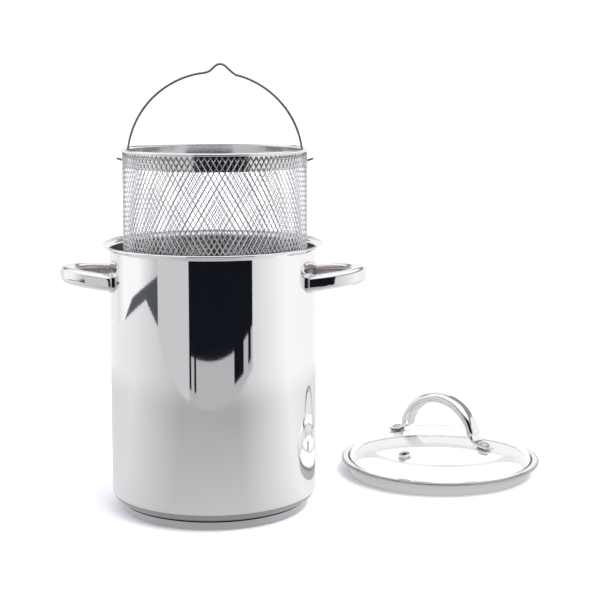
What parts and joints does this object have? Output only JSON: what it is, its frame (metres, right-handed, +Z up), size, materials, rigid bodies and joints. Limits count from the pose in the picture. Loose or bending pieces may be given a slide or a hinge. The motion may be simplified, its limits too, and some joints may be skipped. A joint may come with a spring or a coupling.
{
  "type": "stove-top deep fryer pot",
  "caption": "Tall stainless fryer pot with loop side handles, a lift-out expanded-metal basket on a wire bail, and a domed glass lid with an arched handle.",
  "frame": {"origin": "centre of the pot's base, on the surface it stands on", "axes": "+Z up along the pot's axis; +X through the right side handle, which is also the side on which the lid lies; +Y to the rear"},
  "size_m": [0.3914, 0.2661, 0.3486],
  "materials": {
    "polished_steel": "mirror-polished stainless steel",
    "satin_steel": "satin stainless steel with fine turned lines",
    "mesh_steel": "expanded stainless mesh, semi-bright",
    "wire_steel": "drawn stainless wire, semi-bright",
    "core_aluminium": "plain aluminium core disc",
    "clear_glass": "clear toughened glass",
    "silicone": "milky silicone washer"
  },
  "bodies": {
    "pot": {"pot_body": "polished_steel", "base_core": "core_aluminium", "base_cap": "satin_steel", "left_handle": "polished_steel", "left_handle_foot_front": "polished_steel", "left_handle_foot_rear": "polished_steel", "right_handle": "polished_steel", "right_handle_foot_front": "polished_steel", "right_handle_foot_rear": "polished_steel"},
    "basket": {"basket_wall": "mesh_steel", "basket_rim": "polished_steel", "basket_bottom_ring": "satin_steel", "basket_floor": "mesh_steel"},
    "bail": {"bail_wire": "wire_steel"},
    "lid": {"lid_rim": "satin_steel", "lid_glass": "clear_glass", "lid_handle": "polished_steel", "left_rivet": "polished_steel", "right_rivet": "polished_steel", "left_foot_pad": "silicone", "right_foot_pad": "silicone", "left_glass_gasket": "silicone", "right_glass_gasket": "silicone", "left_nut": "satin_steel", "right_nut": "satin_steel", "vent_grommet": "polished_steel", "vent_ring": "satin_steel"}
  },
  "joints": [
    {"name": "basket_lift", "type": "slide", "parent": "pot", "child": "basket", "axis": [0, 0, 1], "range_m": [-0.0885, 0.13]},
    {"name": "bail_swing", "type": "hinge", "parent": "basket", "child": "bail", "pos_m": [0.002, 0, 0.273], "axis": [1, 0, 0], "range_deg": [-80, 80]},
    {"name": "lid_lift", "type": "slide", "parent": "pot", "child": "lid", "axis": [0, 0, 1], "range_m": [0, 0.3]}
  ]
}
